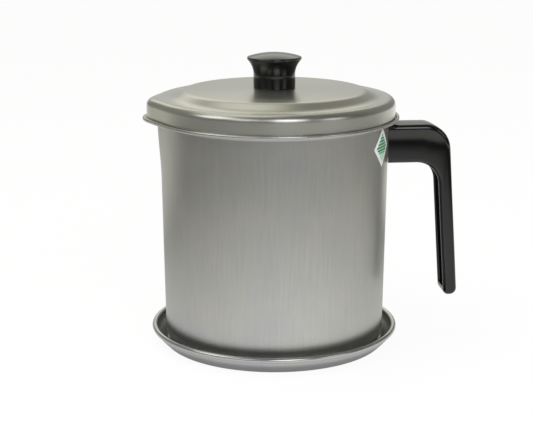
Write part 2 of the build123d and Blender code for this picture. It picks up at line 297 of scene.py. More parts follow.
coating = {  # sizes in millimetres; the spreads are where a noise goes from the one colour to the other
    "dark": "b5b5b3",
    "light": "bfbfbd",
    "cool": "f5f5f9",
    "warm": "fffff9",
    "metal": 0.92,
    "roughness": 0.36,
    "roughSpread": 0.02,
    "rimHeight": 120.8,  # the rolled rim above it is smoother
    "rimBlend": 0.4,
    "rimRoughness": 0.22,
    "anisotropy": 0.5,
    "blurTurn": 0.0,
    "streakWidth": 0.4,
    "streakLength": 40.0,
    "streakAxes": lambda across, along: (across, across, along),
    "streakSpread": (0.32, 0.68),
    "streakBump": 0.10,
    "cloudSize": 40.0,
    "cloudSpread": (0.35, 0.65),
    "grainSize": 0.35,
    "grainBump": 0.12,
    "bumpDepth": 0.02,
}
lidCoating = dict(coating, dark="b9bab6", light="bdbeba", cool="fafafd", warm="fffef6", metal=0.97,
                  roughness=0.29, rimRoughness=0.29, blurTurn=0.25, grainBump=0.02, streakBump=0.05,
                  streakLength=25.0, streakAxes=lambda across, along: (along, across, across))
saucerCoating = dict(coating, dark="b7b7b7", light="bdbdbe", roughness=0.4, anisotropy=0.0,
                     rimHeight=8.2, streakLength=20.0, grainBump=0.02)


def blackPhenolic(settings):
    # Compression-moulded phenolic: near black, hard and glossy, with a faint ripple and dust-fine scuffs.
    material, tree = newMaterial("gloss black phenolic")
    place = addNode(tree, "ShaderNodeTexCoord")
    ripple = addNode(tree, "ShaderNodeTexNoise", {"Scale": 1000 / settings["rippleSize"], "Detail": 2.0},
                     {"Vector": (place, "Object")})
    scuffs = addNode(tree, "ShaderNodeTexNoise", {"Scale": 1000 / settings["scuffSize"], "Detail": 4.0},
                     {"Vector": (place, "Object")})
    colour = addNode(tree, "ShaderNodeValToRGB",
                     {"stops": zip(noiseSpread, (settings["dark"], settings["light"]))},
                     {"Fac": (ripple, "Fac")})
    least, most = settings["roughness"], settings["roughness"] + settings["scuffRoughness"]
    rough = addNode(tree, "ShaderNodeMapRange", {"From": noiseSpread, "To": (least, most)},
                    {"Value": (scuffs, "Fac")})
    bump = addNode(tree, "ShaderNodeBump",
                   {"Strength": settings["bump"], "Distance": settings["bumpDepth"] * mm},
                   {"Height": (ripple, "Fac")})
    shader = addNode(tree, "ShaderNodeBsdfPrincipled", {"IOR": 1.55},
                     {"Base Color": (colour, "Color"), "Roughness": (rough, "Result"),
                      "Normal": (bump, "Normal")})
    addNode(tree, "ShaderNodeOutputMaterial", None, {"Surface": (shader, "BSDF")})
    return material


phenolic = {  # sizes in millimetres
    "dark": "050506",
    "light": "09090a",
    "roughness": 0.04,
    "scuffRoughness": 0.05,
    "rippleSize": 6.0,
    "scuffSize": 0.8,
    "bump": 0.1,
    "bumpDepth": 0.05,
}


def plainMetal(name, settings):
    # Bare or plated metal without a coating: even colour, a fine grain that softens its mirror.
    material, tree = newMaterial(name)
    place = addNode(tree, "ShaderNodeTexCoord")
    grain = addNode(tree, "ShaderNodeTexNoise", {"Scale": 1000 / settings["grainSize"], "Detail": 3.0},
                    {"Vector": (place, "Object")})
    colour = addNode(tree, "ShaderNodeValToRGB",
                     {"stops": zip(noiseSpread, (settings["dark"], settings["light"]))},
                     {"Fac": (grain, "Fac")})
    mean, spread = settings["roughness"], settings["roughSpread"]
    rough = addNode(tree, "ShaderNodeMapRange",
                    {"From": noiseSpread, "To": (mean - spread, mean + spread)},
                    {"Value": (grain, "Fac")})
    bump = addNode(tree, "ShaderNodeBump",
                   {"Strength": settings["bump"], "Distance": settings["bumpDepth"] * mm},
                   {"Height": (grain, "Fac")})
    shader = addNode(tree, "ShaderNodeBsdfPrincipled", {"Metallic": 1.0},
                     {"Base Color": (colour, "Color"), "Roughness": (rough, "Result"),
                      "Normal": (bump, "Normal")})
    addNode(tree, "ShaderNodeOutputMaterial", None, {"Surface": (shader, "BSDF")})
    return material


stainless = {  # sizes in millimetres
    "dark": "a8a8a4",
    "light": "b6b6b2",
    "roughness": 0.3,
    "roughSpread": 0.05,
    "grainSize": 0.6,
    "bump": 0.1,
    "bumpDepth": 0.02,
}
dullCoating = dict(stainless, dark="8f8f88", light="9c9c95", roughness=0.4, grainSize=0.5, bump=0.2)
zincPlating = dict(stainless, dark="a9abad", light="bcbec2", roughness=0.35, grainSize=0.4, bump=0.15)
brass = dict(stainless, dark="b08d4c", light="c7a45e", grainSize=0.4)


def wovenGauze(settings):
    # Plain-woven stainless wire: two crossing sets of round wires, with painted shade in the holes between
    # them.
    material, tree = newMaterial("woven stainless gauze")
    place = addNode(tree, "ShaderNodeTexCoord")
    parts = addNode(tree, "ShaderNodeSeparateXYZ", None, {"Vector": (place, "Object")})
    radiansPerMetre = 2 * pi * 1000 / settings["wirePitch"]
    waves = []
    for axis in ("X", "Y"):
        phase = addNode(tree, "ShaderNodeMath", {"operation": "MULTIPLY", 1: radiansPerMetre},
                        {0: (parts, axis)})
        wave = addNode(tree, "ShaderNodeMath", {"operation": "COSINE"}, {0: (phase, "Value")})
        halved = addNode(tree, "ShaderNodeMath", {"operation": "MULTIPLY_ADD", 1: 0.5, 2: 0.5},
                         {0: (wave, "Value")})
        waves.append((halved, "Value"))
    wires = addNode(tree, "ShaderNodeMath", {"operation": "MAXIMUM"}, {0: waves[0], 1: waves[1]})
    colour = addNode(tree, "ShaderNodeValToRGB",
                     {"stops": zip(settings["holeSpread"], (settings["hole"], settings["wire"]))},
                     {"Fac": (wires, "Value")})
    bump = addNode(tree, "ShaderNodeBump",
                   {"Strength": settings["bump"], "Distance": settings["wireDepth"] * mm},
                   {"Height": (wires, "Value")})
    shader = addNode(tree, "ShaderNodeBsdfPrincipled", {"Metallic": 1.0, "Roughness": settings["roughness"]},
                     {"Base Color": (colour, "Color"), "Normal": (bump, "Normal")})
    addNode(tree, "ShaderNodeOutputMaterial", None, {"Surface": (shader, "BSDF")})
    return material


gauze = {  # sizes in millimetres
    "wirePitch": 1.2,  # drawn coarser than real gauze
    "wireDepth": 0.2,
    "roughness": 0.35,
    "bump": 0.8,
    "holeSpread": (0.35, 0.75),
    # painted shade in the holes between the wires
    "hole": "2c2c2a",
    "wire": "b9b9b4",
}


def printedPaper(settings):
    # Glossy paper label: white ground, a plain green field with pale stripes, pale green foot.
    material, tree = newMaterial("printed paper label")
    place = addNode(tree, "ShaderNodeTexCoord")
    parts = addNode(tree, "ShaderNodeSeparateXYZ", None, {"Vector": (place, "UV")})
    # the label stands on its corner, so the height up it is the mean of both directions
    both = addNode(tree, "ShaderNodeMath", {"operation": "ADD"}, {0: (parts, "X"), 1: (parts, "Y")})
    up = addNode(tree, "ShaderNodeMath", {"operation": "MULTIPLY", 1: 0.5}, {0: (both, "Value")})
    # the printed field keeps off the edges
    distances = []
    for axis in ("X", "Y"):
        offset = addNode(tree, "ShaderNodeMath", {"operation": "SUBTRACT", 1: 0.5}, {0: (parts, axis)})
        distance = addNode(tree, "ShaderNodeMath", {"operation": "ABSOLUTE"}, {0: (offset, "Value")})
        distances.append((distance, "Value"))
    farthest = addNode(tree, "ShaderNodeMath", {"operation": "MAXIMUM"}, {0: distances[0], 1: distances[1]})
    field = addNode(tree, "ShaderNodeMath", {"operation": "LESS_THAN", 1: settings["fieldHalf"]},
                    {0: (farthest, "Value")})
    rows = addNode(tree, "ShaderNodeMath", {"operation": "MULTIPLY", 1: settings["stripes"]},
                   {0: (up, "Value")})
    inRow = addNode(tree, "ShaderNodeMath", {"operation": "FRACT"}, {0: (rows, "Value")})
    stripe = addNode(tree, "ShaderNodeMath", {"operation": "LESS_THAN", 1: settings["stripeShare"]},
                     {0: (inRow, "Value")})
    upper = addNode(tree, "ShaderNodeMath", {"operation": "GREATER_THAN", 1: settings["footHeight"]},
                    {0: (up, "Value")})
    green = addNode(tree, "ShaderNodeMix",
                    {"data_type": "RGBA", 6: hexColour(settings["green"]), 7: hexColour(settings["pale"])},
                    {0: (stripe, "Value")})
    inside = addNode(tree, "ShaderNodeMix", {"data_type": "RGBA", 6: hexColour(settings["foot"])},
                     {0: (upper, "Value"), 7: (green, 2)})
    colour = addNode(tree, "ShaderNodeMix", {"data_type": "RGBA", 6: hexColour(settings["ground"])},
                     {0: (field, "Value"), 7: (inside, 2)})
    shader = addNode(tree, "ShaderNodeBsdfPrincipled", {"IOR": 1.5, "Roughness": settings["roughness"]},
                     {"Base Color": (colour, 2)})
    addNode(tree, "ShaderNodeOutputMaterial", None, {"Surface": (shader, "BSDF")})
    return material


potSteel = coatedSteel("coated steel, upright brushing", coating)
lidSteel = coatedSteel("coated steel, lid", lidCoating)
saucerSteel = coatedSteel("coated steel, saucer", saucerCoating)
phenolicMaterial = blackPhenolic(phenolic)
strainerSteel = plainMetal("satin stainless steel", stainless)
bracketSteel = plainMetal("coated steel bracket", dullCoating)
zincSteel = plainMetal("zinc plated steel", zincPlating)
turnedBrass = plainMetal("turned brass", brass)
gauzeMaterial = wovenGauze(gauze)
print("materials made")


saucer = {  # lengths in millimetres
    "sheet": 0.7,
    "floorRadius": 58.4,
    "wallRise": 5.0,  # of its 45 degree part
    "lipRise": 3.5,
    "lipReach": 1.2,
    "beadRadius": 1.4,
    "cornerBend": 2.5,
    "kneeBend": 7.0,
    "beadSteps": 24,
}


def makeSaucer():
    s = saucer
    floorEdge = Vector((s["floorRadius"], 0))
    knee = floorEdge + Vector((s["wallRise"], s["wallRise"]))
    bead = knee + Vector((s["lipReach"], s["lipRise"]))
    lip = (bead - knee).normalized()
    inward = Vector((-lip.y, lip.x))
    outerEnd = bead - lip * s["beadRadius"]
    innerEnd = bead + inward * s["sheet"] - lip * sqrt(s["beadRadius"] ** 2 - s["sheet"] ** 2)
    outer = roundedPath([(0, 0), floorEdge, knee, outerEnd], [s["cornerBend"], s["kneeBend"]])
    # the inside is the same path set in by the sheet, its corners moved along their bisectors
    innerFloor = floorEdge + Vector((-s["sheet"] * tan(pi / 8), s["sheet"]))
    wallNormal = Vector((-1, 1)).normalized()
    innerKnee = knee + (wallNormal + inward) * s["sheet"] / (1 + wallNormal.dot(inward))
    inner = roundedPath([innerEnd, innerKnee, innerFloor, (0, s["sheet"])],
                        [s["kneeBend"] - s["sheet"], s["cornerBend"] - s["sheet"]])
    piece = turnOutline("saucer_dish", outer + beadArc(bead, outerEnd, innerEnd, s["beadSteps"]) + inner)
    smooth(piece)
    finishPiece(piece, "saucer", saucerSteel, "coated_steel", "saucer")


makeSaucer()
print("saucer made")


pot = {  # lengths in millimetres
    "sheet": 0.6,
    "foot": 0.7,  # the pot stands on the saucer's floor
    "height": 120.9,  # from its foot to its rim
    "radius": 60.2,
    "baseRadius": 58.35,
    "cornerBend": 7.2,
    "footRing": 42.0,
    "baseRise": 1.5,
    "footBend": 1.2,
    "rimBend": 1.8,
    "beadCircle": 64.75,
    "beadRadius": 0.95,
    "beadLift": 0.25,  # of the rolled edge's middle above the rim
    "throatHeight": 31.6,  # how far under the rim the throat starts to swell
    "throatBulge": 1.2,
    "throatNose": 26.0,
    "lipProjection": 3.47,
    "lipNose": 25.0,
    "wallRows": 14,  # rows of faces up the wall, for the throat to bend
    "beadSteps": 18,
}
potRim = pot["foot"] + pot["height"]
potFlare = potRim - pot["sheet"] - pot["rimBend"]


def potLipPush(radius, y, z):
    p = pot
    throatStart = potRim - p["throatHeight"]
    if z <= throatStart:
        return 0.0
    rimStart = p["radius"] + p["rimBend"]
    share = (radius - rimStart) / (p["beadCircle"] - rimStart)
    bulge = p["throatBulge"] * ease((z - throatStart) / (potFlare - throatStart))
    reach = bulge + (p["lipProjection"] - bulge) * min(max(share, 0), 1)
    nose = p["throatNose"] + radius - p["radius"]
    if share > 0:
        nose += (p["lipNose"] - p["beadCircle"] - p["throatNose"] + p["radius"]) * min(share, 1)
    return lipPush(y, radius, reach, nose)


def makePot():
    p = pot
    foot, rim, sheet = p["foot"], potRim, p["sheet"]
    bead = Vector((p["beadCircle"], rim + p["beadLift"]))
    under = rim - sheet
    outerEnd = Vector((bead.x - sqrt(p["beadRadius"] ** 2 - (bead.y - under) ** 2), under))
    innerEnd = Vector((bead.x - sqrt(p["beadRadius"] ** 2 - p["beadLift"] ** 2), rim))
    rows = [i / p["wallRows"] for i in range(1, p["wallRows"])]
    throat = rim - p["throatHeight"]

    def wall(inset):
        # rows of points up the throat, on the straight line from foot to flare
        heights = [throat + (potFlare - throat) * row for row in rows]
        spread = p["radius"] - p["baseRadius"]
        return [(p["baseRadius"] - inset + spread * (z - foot) / (potFlare - foot), z) for z in heights]

    outerPoints = [(0, foot + p["baseRise"]), (p["footRing"], foot + p["baseRise"]),
                   (p["footRing"] + p["baseRise"], foot), (p["baseRadius"], foot), *wall(0),
                   (p["radius"], under), outerEnd]
    outerBends = [p["footBend"], p["footBend"], p["cornerBend"], *[0] * len(rows), p["rimBend"]]
    knee = p["footRing"] + sheet * tan(pi / 8)
    inside = foot + sheet
    innerPoints = [innerEnd, (p["radius"] - sheet, rim), *reversed(wall(sheet)),
                   (p["baseRadius"] - sheet, inside), (knee + p["baseRise"], inside),
                   (knee, inside + p["baseRise"]), (0, inside + p["baseRise"])]
    innerBends = [p["rimBend"] + sheet, *[0] * len(rows), p["cornerBend"] - sheet, p["footBend"],
                  p["footBend"]]
    path = roundedPath(outerPoints, outerBends) + beadArc(bead, outerEnd, innerEnd, p["beadSteps"])
    piece = turnOutline("pot_shell", path + roundedPath(innerPoints, innerBends))
    drawOutLip(piece, p["lipProjection"], potLipPush)
    smooth(piece)
    finishPiece(piece, "pot", potSteel, "coated_steel", "pot_body")
    return piece


potPiece = makePot()
print("pot made")


lid = {  # lengths in millimetres
    "sheet": 0.6,
    "bottom": 122.2,  # above the table
    "radius": 63.5,
    "skirt": 10.2,
    "shoulder": 3.8,
    "borderWidth": 8.9,
    "borderRise": -0.25,
    "borderBend": 8.0,
    "slopeWidth": 7.0,
    "slopeRise": 3.85,
    "domeBend": 7.5,
    "domeFootBend": 12.0,
    "seatRadius": 13.0,
    "crownRise": 1.0,
    "crownSag": 0.2,
    "crownSteps": 8,
    "lipProjection": 3.47,
    "lipNose": 23.75,
}


def lidLipPush(radius, y, z):
    d = lid
    domeFoot = d["radius"] - d["borderWidth"]
    share = ease((radius - domeFoot) / (d["borderWidth"] - d["shoulder"]))
    return lipPush(y, radius, d["lipProjection"] * share, d["lipNose"] + radius - d["radius"])


def lidPath(inset):
    # from the middle of the crown out and down to the bottom of the skirt
    d = lid
    border = d["bottom"] + d["skirt"] - inset
    domeFoot = (d["radius"] - d["borderWidth"], border + d["borderRise"])
    domeEdge = Vector((domeFoot[0] - d["slopeWidth"], domeFoot[1] + d["slopeRise"]))
    crown = domeEdge.y + d["crownRise"]
    seat = (d["seatRadius"], crown)
    crownArc = sagArc(seat, domeEdge, d["crownSag"], d["crownSteps"])
    points = [(0, crown), seat, *crownArc, domeFoot, (d["radius"] - d["shoulder"], border),
              (d["radius"] - inset, border), (d["radius"] - inset, d["bottom"])]
    bends = [0] * d["crownSteps"] + [d["domeBend"], d["domeFootBend"], d["borderBend"], d["shoulder"] - inset]
    return roundedPath(points, bends)


def makeLid():
    path = lidPath(0) + list(reversed(lidPath(lid["sheet"])))
    piece = turnOutline("lid_shell", path)
    drawOutLip(piece, lid["lipProjection"], lidLipPush)
    smooth(piece)
    finishPiece(piece, "lid", lidSteel, "coated_steel", "lid")


makeLid()
print("lid made")


knob = {  # lengths in millimetres, from its seat on the lid
    "waistRadius": 11.0,
    "capRadius": 14.3,
    "waistHeight": 7.0,
    "capHeight": 14.8,
    "capEdge": 1.2,
    "domeRise": 2.3,
    "flareSag": 0.85,
    "flareSteps": 10,
    "domeSteps": 14,
    "bendSteps": 5,
    "sharpAngle": 40,  # degrees
    "footRound": 0.5,
    "waistRound": 4.0,
    "capRoundBelow": 0.45,
    "capRoundAbove": 0.7,
}


def makeKnob():
    k = knob
    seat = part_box("lid_knob")[0].z / mm
    up = Vector((0, seat))
    waist = Vector((k["waistRadius"], k["waistHeight"]))
    cap = Vector((k["capRadius"], k["capHeight"]))
    edge = cap + Vector((0, k["capEdge"]))
    flare = sagArc(waist, cap, k["flareSag"], k["flareSteps"])
    domeFull = sagArc(edge, (-edge.x, edge.y), -k["domeRise"], 2 * k["domeSteps"])
    dome = domeFull[:k["domeSteps"]]
    points = [Vector((0, 0)), Vector((k["waistRadius"], 0)), waist, *flare, edge, *dome]
    bends = [k["footRound"], k["waistRound"], *[0] * (k["flareSteps"] - 1), k["capRoundBelow"],
             k["capRoundAbove"], *[0] * (k["domeSteps"] - 1)]
    piece = turnOutline("knob_turned", [point + up for point in roundedPath(points, bends, k["bendSteps"])])
    smooth(piece, k["sharpAngle"])
    finishPiece(piece, "lid", phenolicMaterial, "black_phenolic", "lid_knob")


makeKnob()
print("knob made")


handle = {  # lengths in millimetres
    "width": 18.0,
    "edge": 2.5,
    "edgeSteps": 6,
    "armTop": 117.1,  # above the table
    "armThickness": 20.5,
    "legReach": 92.58,  # from the pot's axis, at the arm's top
    "legThickness": 7.2,
    "legLean": 3.95,  # degrees
    "legLength": 94.0,  # down from the arm's top
    "outerBend": 14.0,
    "innerBend": 12.5,
    "endInnerBend": 2.6,
    "endOuterBend": 3.5,
    "bendSteps": 16,
    "wallGap": 0.1,
    "rootShare": 0.8,  # share of the pot's radius where the arm is drawn from, before it is hollowed
    "hollowHeight": 60.0,
    "channelWidth": 12.4,
    "channelDepth": 3.2,
    "channelFoot": 4.0,
    "channelEnd": 80.45,  # from the pot's axis to where it runs out under the arm
    "channelOverlap": 2.0,  # the cutter reaches this far out under the arm
    "channelRound": 0.6,
    "channelRoundSteps": 3,
    "channelCorner": 38,  # degrees; edges that bend more are rounded
    "sharpAngle": 30,  # degrees
    "screwX": 73.0,
    "boreRadius": 5.45,
    "boreDepth": 4.2,
    "boreFacets": 48,
}


def closeAndThicken(piece, width):
    # the drawn outline is filled and pushed through to its full width
    bpy.ops.mesh.select_all(action="SELECT")
    bpy.ops.mesh.edge_face_add()
    bpy.ops.mesh.extrude_region_move(TRANSFORM_OT_translate={"value": (0, width * mm, 0)})
    bpy.ops.mesh.select_all(action="SELECT")
    bpy.ops.mesh.normals_make_consistent(inside=False)


def cutAway(piece, cutter):
    applyModifier(piece, "BOOLEAN", operation="DIFFERENCE", solver="EXACT", object=cutter)
    bpy.data.objects.remove(cutter)


def roundSides(piece, width, edge, steps):
    # the edges along both side faces are rounded
    bpy.ops.mesh.select_mode(type="EDGE")
    bpy.ops.mesh.select_all(action="DESELECT")
    bpy.ops.object.mode_set(mode="OBJECT")
    side, near = width / 2 * mm, 0.01 * mm
    for e in piece.data.edges:
        ends = [piece.data.vertices[i].co for i in e.vertices]
        e.select = all(abs(abs(v.y) - side) < near for v in ends) and abs(ends[0].y - ends[1].y) < near
    bpy.ops.object.mode_set(mode="EDIT")
    bpy.ops.mesh.bevel(offset=edge * mm, segments=steps, affect="EDGES")
    bpy.ops.object.mode_set(mode="OBJECT")


def uprightCylinder(facets, radius, depth, x, z):
    deselectAll()
    bpy.ops.mesh.primitive_cylinder_add(vertices=facets, radius=radius * mm, depth=depth * mm,
                                        location=(x * mm, 0, z * mm))
    bpy.ops.object.transform_apply(location=True, rotation=True, scale=True)
    return bpy.context.object


armRoot = pot["radius"] * handle["rootShare"]
armBottom = handle["armTop"] - handle["armThickness"]
legBottom = handle["armTop"] - handle["legLength"]
legLean = radians(handle["legLean"])


def legOutside(z):
    # how far from the pot's axis the leg's outer face is at this height
    return handle["legReach"] + (handle["armTop"] - z) * tan(legLean)


def legInside(z):
    return legOutside(z) - handle["legThickness"] / cos(legLean)


def channelCutter():
    # the channel runs up the face towards the pot, round the corner and out under the arm
    h = handle
    foot = legBottom + h["channelFoot"]
    start, corner = Vector((legInside(foot), foot)), Vector((legInside(armBottom), armBottom))
    along = (corner - start).normalized()
    into = Vector((along.y, -along.x)) * h["channelDepth"]
    deepZ = armBottom + h["channelDepth"]
    deepCorner = start + into + along * (deepZ - start.y - into.y) / along.y
    deepBend = h["innerBend"] + h["channelDepth"]
    floorLine = roundedPath([start + into, deepCorner, (armRoot, deepZ)], [deepBend], h["bendSteps"])
    floorLine = [point for point in floorLine if point.x > h["channelEnd"]]
    arcCentre = deepCorner.x - deepBend * tan((pi / 2 - legLean) / 2)
    endZ = deepZ - deepBend + sqrt(deepBend ** 2 - max(h["channelEnd"] - arcCentre, 0) ** 2)
    outline = [start - into / 2, *floorLine, Vector((h["channelEnd"], endZ)),
               Vector((h["channelEnd"], armBottom - h["channelOverlap"]))]
    cutter = drawOutline("channel_cutter", outline, -h["channelWidth"] / 2)
    closeAndThicken(cutter, h["channelWidth"])
    bpy.ops.object.mode_set(mode="OBJECT")
    return cutter


def makeHandle():
    h = handle
    corners = [(armRoot, armBottom), (legInside(armBottom), armBottom), (legInside(legBottom), legBottom),
               (legOutside(legBottom), legBottom), (h["legReach"], h["armTop"]), (armRoot, h["armTop"])]
    bends = [h["innerBend"], h["endInnerBend"], h["endOuterBend"], h["outerBend"]]
    piece = drawOutline("handle_grip", roundedPath(corners, bends, h["bendSteps"]), -h["width"] / 2)
    closeAndThicken(piece, h["width"])
    roundSides(piece, h["width"], h["edge"], h["edgeSteps"])
    cutAway(piece, channelCutter())
    # the arm's end is hollowed to the pot's wall, and the screw's counterbore goes up under the arm
    hollow = uprightCylinder(turnSteps, pot["radius"] + h["wallGap"], h["hollowHeight"], 0, h["armTop"])
    cutAway(piece, hollow)
    bore = uprightCylinder(h["boreFacets"], h["boreRadius"], 2 * h["boreDepth"], h["screwX"], armBottom)
    cutAway(piece, bore)
    applyModifier(piece, "BEVEL", width=h["channelRound"] * mm, segments=h["channelRoundSteps"],
                  limit_method="ANGLE", angle_limit=radians(h["channelCorner"]), harden_normals=False)
    smooth(piece, h["sharpAngle"])
    finishPiece(piece, "pot", phenolicMaterial, "black_phenolic", "handle")


makeHandle()
print("handle made")


label = {  # lengths in millimetres
    "side": 14.2,
    "turn": -29.6,  # degrees round the pot from the handle
    "height": 109.5,  # of its middle above the table
    "cells": 24,
    "standOff": 1.0,  # where it is before it is pressed on
    "lift": 0.06,
    "paper": 0.1,  # its thickness
    "roughness": 0.3,
    "ground": "e9ecea",
    "green": "1f6b46",
    "pale": "a9d6b8",
    "foot": "b9d8c4",
    "fieldHalf": 0.36,  # half the printed field's width, as a share of the side
    "stripes": 13.0,
    "stripeShare": 0.42,
    "footHeight": 0.36,  # share of the height
}


def makeLabel(wall):
    # a square of paper on its corner, stuck to the wall beside the handle's arm
    b = label
    out = Vector((cos(radians(b["turn"])), sin(radians(b["turn"])), 0))
    place = out * (pot["radius"] + b["standOff"]) * mm + Vector((0, 0, b["height"] * mm))
    deselectAll()
    bpy.ops.mesh.primitive_grid_add(x_subdivisions=b["cells"], y_subdivisions=b["cells"], size=b["side"] * mm,
                                    calc_uvs=True, location=(0, 0, 0), rotation=(0, 0, radians(45)))
    bpy.ops.object.transform_apply(location=True, rotation=True, scale=True)
    piece = bpy.context.object
    piece.name = piece.data.name = "paper_label"
    piece.rotation_euler = (radians(90), 0, radians(b["turn"] + 90))
    piece.location = place
    bpy.ops.object.transform_apply(location=True, rotation=True, scale=True)
    applyModifier(piece, "SHRINKWRAP", target=wall, offset=b["lift"] * mm, wrap_method="NEAREST_SURFACEPOINT",
                  wrap_mode="ABOVE_SURFACE")
    applyModifier(piece, "SOLIDIFY", thickness=b["paper"] * mm, offset=0)
    smooth(piece)
    finishPiece(piece, "pot", printedPaper(b), "coated_steel")


makeLabel(potPiece)
print("label made")


for nodeName, material in (
    ("handle_bracket", bracketSteel),
    ("handle_insert", turnedBrass),
    ("handle_screw", zincSteel),
    ("handle_washer", zincSteel),
    ("strainer_cup", strainerSteel),
    ("sieve_plate", strainerSteel),
    ("strainer_gauze", gauzeMaterial),
    ("clamp_ring", strainerSteel),
    ("knob_insert", turnedBrass),
    ("knob_screw", zincSteel),
    ("knob_washer", zincSteel),
):
    dress(nodeName, material)
print("CAD pieces dressed")


floorPaper = {  # spans are in metres from the pot's axis, and a painted shade or light comes or goes over them
    "size": 6.0,
    "drop": 0.1,  # millimetres under the saucer's base
    "colour": "f6f6f6",
    "plainLight": 0.93,  # share of it in what the camera and the metal see of the paper
    "poolCentre": (0.015, -0.108, 0.0),
    "poolStretch": (0.74, 1.0, 1.0),
    "pool": ((0.0, 1.1), (0.06, 0.97), (0.12, 0.84), (0.22, 0.71), (0.3, 0.49), (0.4, 0.18), (0.5, 0.02),
             (0.6, 0.03), (0.68, 0.34), (0.85, 1.0), (1.4, 1.2)),
    "leftShade": 0.7,  # the painted pool of light falls off to the left
    "leftSpan": (-0.4, -0.08),
    "behind": 0.85,  # painted light on the paper behind the pot, as the metal sees it
    "behindSpan": (0.09, 0.28),
    "behindWidth": (0.3, 0.9),  # and where that ends to either side
    "rightBoost": 1.6,  # and how much more painted light there is to the right, past the handle
    "rightSpan": (0.1, 0.26),
    "paintedFootShadow": 0.4,  # a painted contact shadow: the paper is darker close round the saucer's foot
    "paintedFootShadowSpan": (0.0605, 0.068),
    "sideLightTint": "fffef4",  # the painted light that the metal sees is warmer to the sides
    "sideSpan": (0.04, 0.25),
}


def whitePaper():
    # Matt white paper: the camera sees it white and even, with a faint shadow. The metal mirrors a painted
    # pool of light on it, which fades away from the pot, bright again behind it and warmer to the sides.
    f = floorPaper
    material, tree = newMaterial("white paper floor")
    rays = addNode(tree, "ShaderNodeLightPath")
    place = addNode(tree, "ShaderNodeTexCoord")
    shift = addNode(tree, "ShaderNodeVectorMath", {"operation": "SUBTRACT", 1: f["poolCentre"]},
                    {0: (place, "Object")})
    stretch = addNode(tree, "ShaderNodeVectorMath", {"operation": "MULTIPLY", 1: f["poolStretch"]},
                      {0: (shift, "Vector")})
    away = addNode(tree, "ShaderNodeVectorMath", {"operation": "LENGTH"}, {0: (stretch, "Vector")})
    # the glow that the metal sees is a painted pool of light, fading with distance from the pot
    pool = addNode(tree, "ShaderNodeFloatCurve", None, {"Value": (away, "Value")})
    curve = pool.mapping.curves[0]
    pool.mapping.use_clip = False
    for at, level in f["pool"][1:-1]:
        curve.points.new(at, level)
    curve.points[0].location, curve.points[-1].location = f["pool"][0], f["pool"][-1]
    pool.mapping.extend = "HORIZONTAL"
    pool.mapping.update()
    parts = addNode(tree, "ShaderNodeSeparateXYZ", None, {"Vector": (place, "Object")})
    left = addNode(tree, "ShaderNodeMapRange", {**softly, "From": f["leftSpan"], "To": (f["leftShade"], 1.0)},
                   {"Value": (parts, "X")})
    front = addNode(tree, "ShaderNodeMath", {"operation": "MULTIPLY"},
                    {0: (pool, "Value"), 1: (left, "Result")})
    # behind the pot the painted light on the paper is bright again, most of all past the handle
    aside = addNode(tree, "ShaderNodeMath", {"operation": "ABSOLUTE"}, {0: (parts, "X")})
    middle = addNode(tree, "ShaderNodeMapRange",
                     {**softly, "From": f["behindWidth"], "To": (f["behind"], 0.0)},
                     {"Value": (aside, "Value")})
    right = addNode(tree, "ShaderNodeMapRange",
                    {**softly, "From": f["rightSpan"], "To": (1.0, f["rightBoost"])},
                    {"Value": (parts, "X")})
    bright = addNode(tree, "ShaderNodeMath", {"operation": "MULTIPLY"},
                     {0: (middle, "Result"), 1: (right, "Result")})
    behind = addNode(tree, "ShaderNodeMapRange", {**softly, "From": f["behindSpan"]},
                     {"Value": (parts, "Y"), "To Max": (bright, "Value")})
    lit = addNode(tree, "ShaderNodeMath", {"operation": "MAXIMUM"},
                  {0: (front, "Value"), 1: (behind, "Result")})
    # a painted contact shadow darkens the paper close round the saucer's foot
    radius = addNode(tree, "ShaderNodeVectorMath", {"operation": "LENGTH"}, {0: (place, "Object")})
    foot = addNode(tree, "ShaderNodeMapRange", {**softly, "From": f["paintedFootShadowSpan"], "To": (f["paintedFootShadow"], 1.0)},
                   {"Value": (radius, "Value")})
    shaded = addNode(tree, "ShaderNodeMath", {"operation": "MULTIPLY"},
                     {0: (lit, "Value"), 1: (foot, "Result")})
    level = addNode(tree, "ShaderNodeMix", {"data_type": "FLOAT", 3: 1.0},
                    {0: (rays, "Is Camera Ray"), 2: (shaded, "Value")})
    mirrored = addNode(tree, "ShaderNodeMath", {"operation": "MAXIMUM"},
                       {0: (rays, "Is Glossy Ray"), 1: (rays, "Is Transmission Ray")})
    seen = addNode(tree, "ShaderNodeMath", {"operation": "MAXIMUM"},
                   {0: (rays, "Is Camera Ray"), 1: (mirrored, "Value")})
    share = addNode(tree, "ShaderNodeMath", {"operation": "MULTIPLY", 1: f["plainLight"]},
                    {0: (seen, "Value")})
    sideways = addNode(tree, "ShaderNodeMapRange", {**softly, "From": f["sideSpan"]},
                       {"Value": (aside, "Value")})
    tinted = addNode(tree, "ShaderNodeMath", {"operation": "MULTIPLY"},
                     {0: (sideways, "Result"), 1: (mirrored, "Value")})
    warmth = addNode(tree, "ShaderNodeMix", {"data_type": "RGBA", 6: white, 7: hexColour(f["sideLightTint"])},
                     {0: (tinted, "Value")})
    glow = addNode(tree, "ShaderNodeEmission", None, {"Color": (warmth, 2), "Strength": (level, 0)})
    paper = addNode(tree, "ShaderNodeBsdfDiffuse", {"Color": hexColour(f["colour"])})
    mix = addNode(tree, "ShaderNodeMixShader", None,
                  {0: (share, "Value"), 1: (paper, "BSDF"), 2: (glow, "Emission")})
    addNode(tree, "ShaderNodeOutputMaterial", None, {"Surface": (mix, "Shader")})
    return material


def makeFloor():
    deselectAll()
    bpy.ops.mesh.primitive_plane_add(size=floorPaper["size"], location=(0, 0, -floorPaper["drop"] * mm))
    floor = bpy.context.object
    floor.name = "floor"
    bpy.ops.object.transform_apply(location=True, rotation=True, scale=True)
    floor.data.materials.append(whitePaper())


